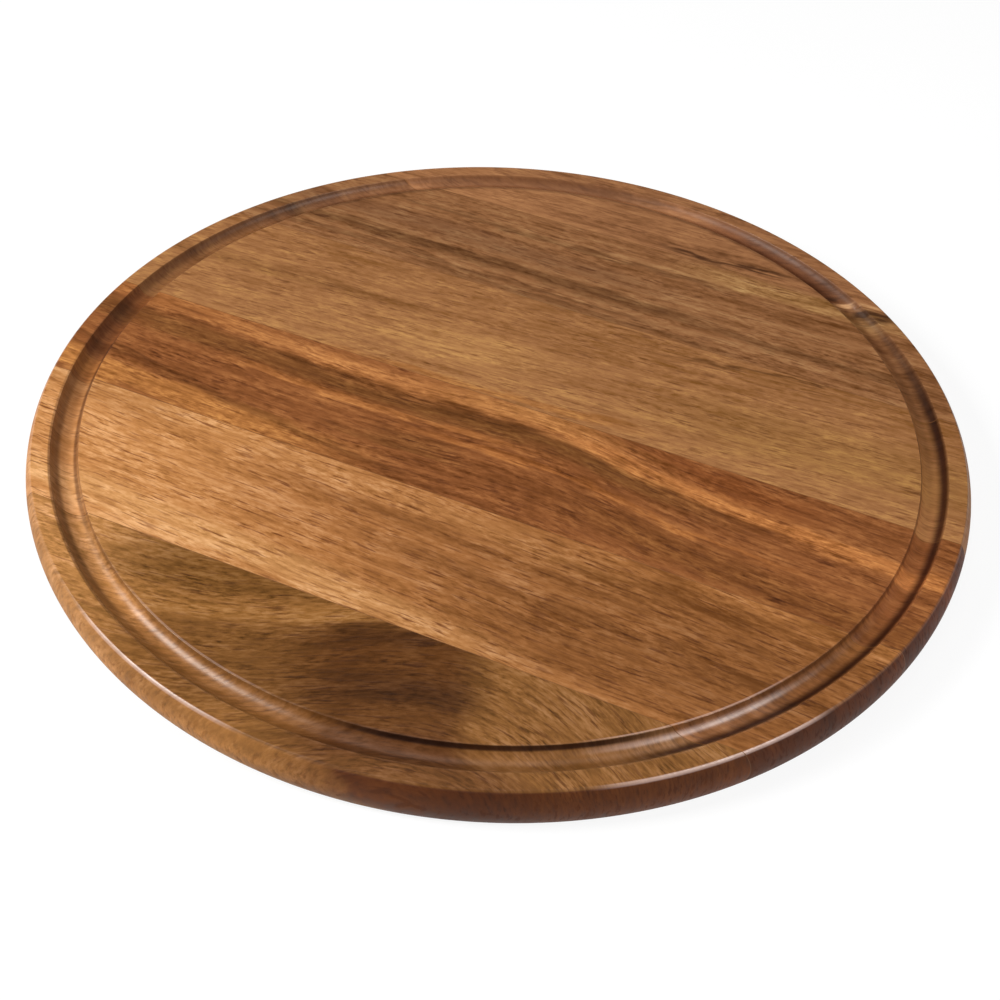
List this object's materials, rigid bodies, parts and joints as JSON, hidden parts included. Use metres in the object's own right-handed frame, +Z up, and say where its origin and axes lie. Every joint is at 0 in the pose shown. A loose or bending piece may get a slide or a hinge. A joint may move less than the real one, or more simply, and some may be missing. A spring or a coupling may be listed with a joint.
{
  "type": "pizza serving board",
  "caption": "Round flat serving board of edge-glued hardwood staves with a routed juice groove inside a rounded rim, for serving and slicing pizza.",
  "frame": {"origin": "centre of the underside, on the surface that the board lies on", "axes": "+Z up through the board's thickness, X along the grain of the staves, Y across the staves with +Y towards the back stave"},
  "size_m": [0.32, 0.32, 0.015],
  "materials": {
    "olive_brown_wood": "oiled, satin; olive brown sapwood with a dark heartwood band",
    "tan_wood": "oiled, satin; light tan with fine brown grain",
    "red_brown_wood": "oiled, satin; red-brown with dark streaks and an orange streak",
    "golden_wood": "oiled, satin; golden olive, nearly plain",
    "brown_wood": "oiled, satin; mid-brown with dark streaks",
    "russet_wood": "oiled, satin; plain russet brown",
    "glue": "cured wood glue, sanded flush and darkened by oil"
  },
  "bodies": {
    "root": {"front_stave": "olive_brown_wood", "glue_front_tan": "glue", "tan_stave": "tan_wood", "glue_tan_red": "glue", "red_stave": "red_brown_wood", "glue_red_golden": "glue", "golden_stave": "golden_wood", "glue_golden_brown": "glue", "brown_stave": "brown_wood", "glue_brown_back": "glue", "back_stave": "russet_wood"}
  },
  "joints": []
}
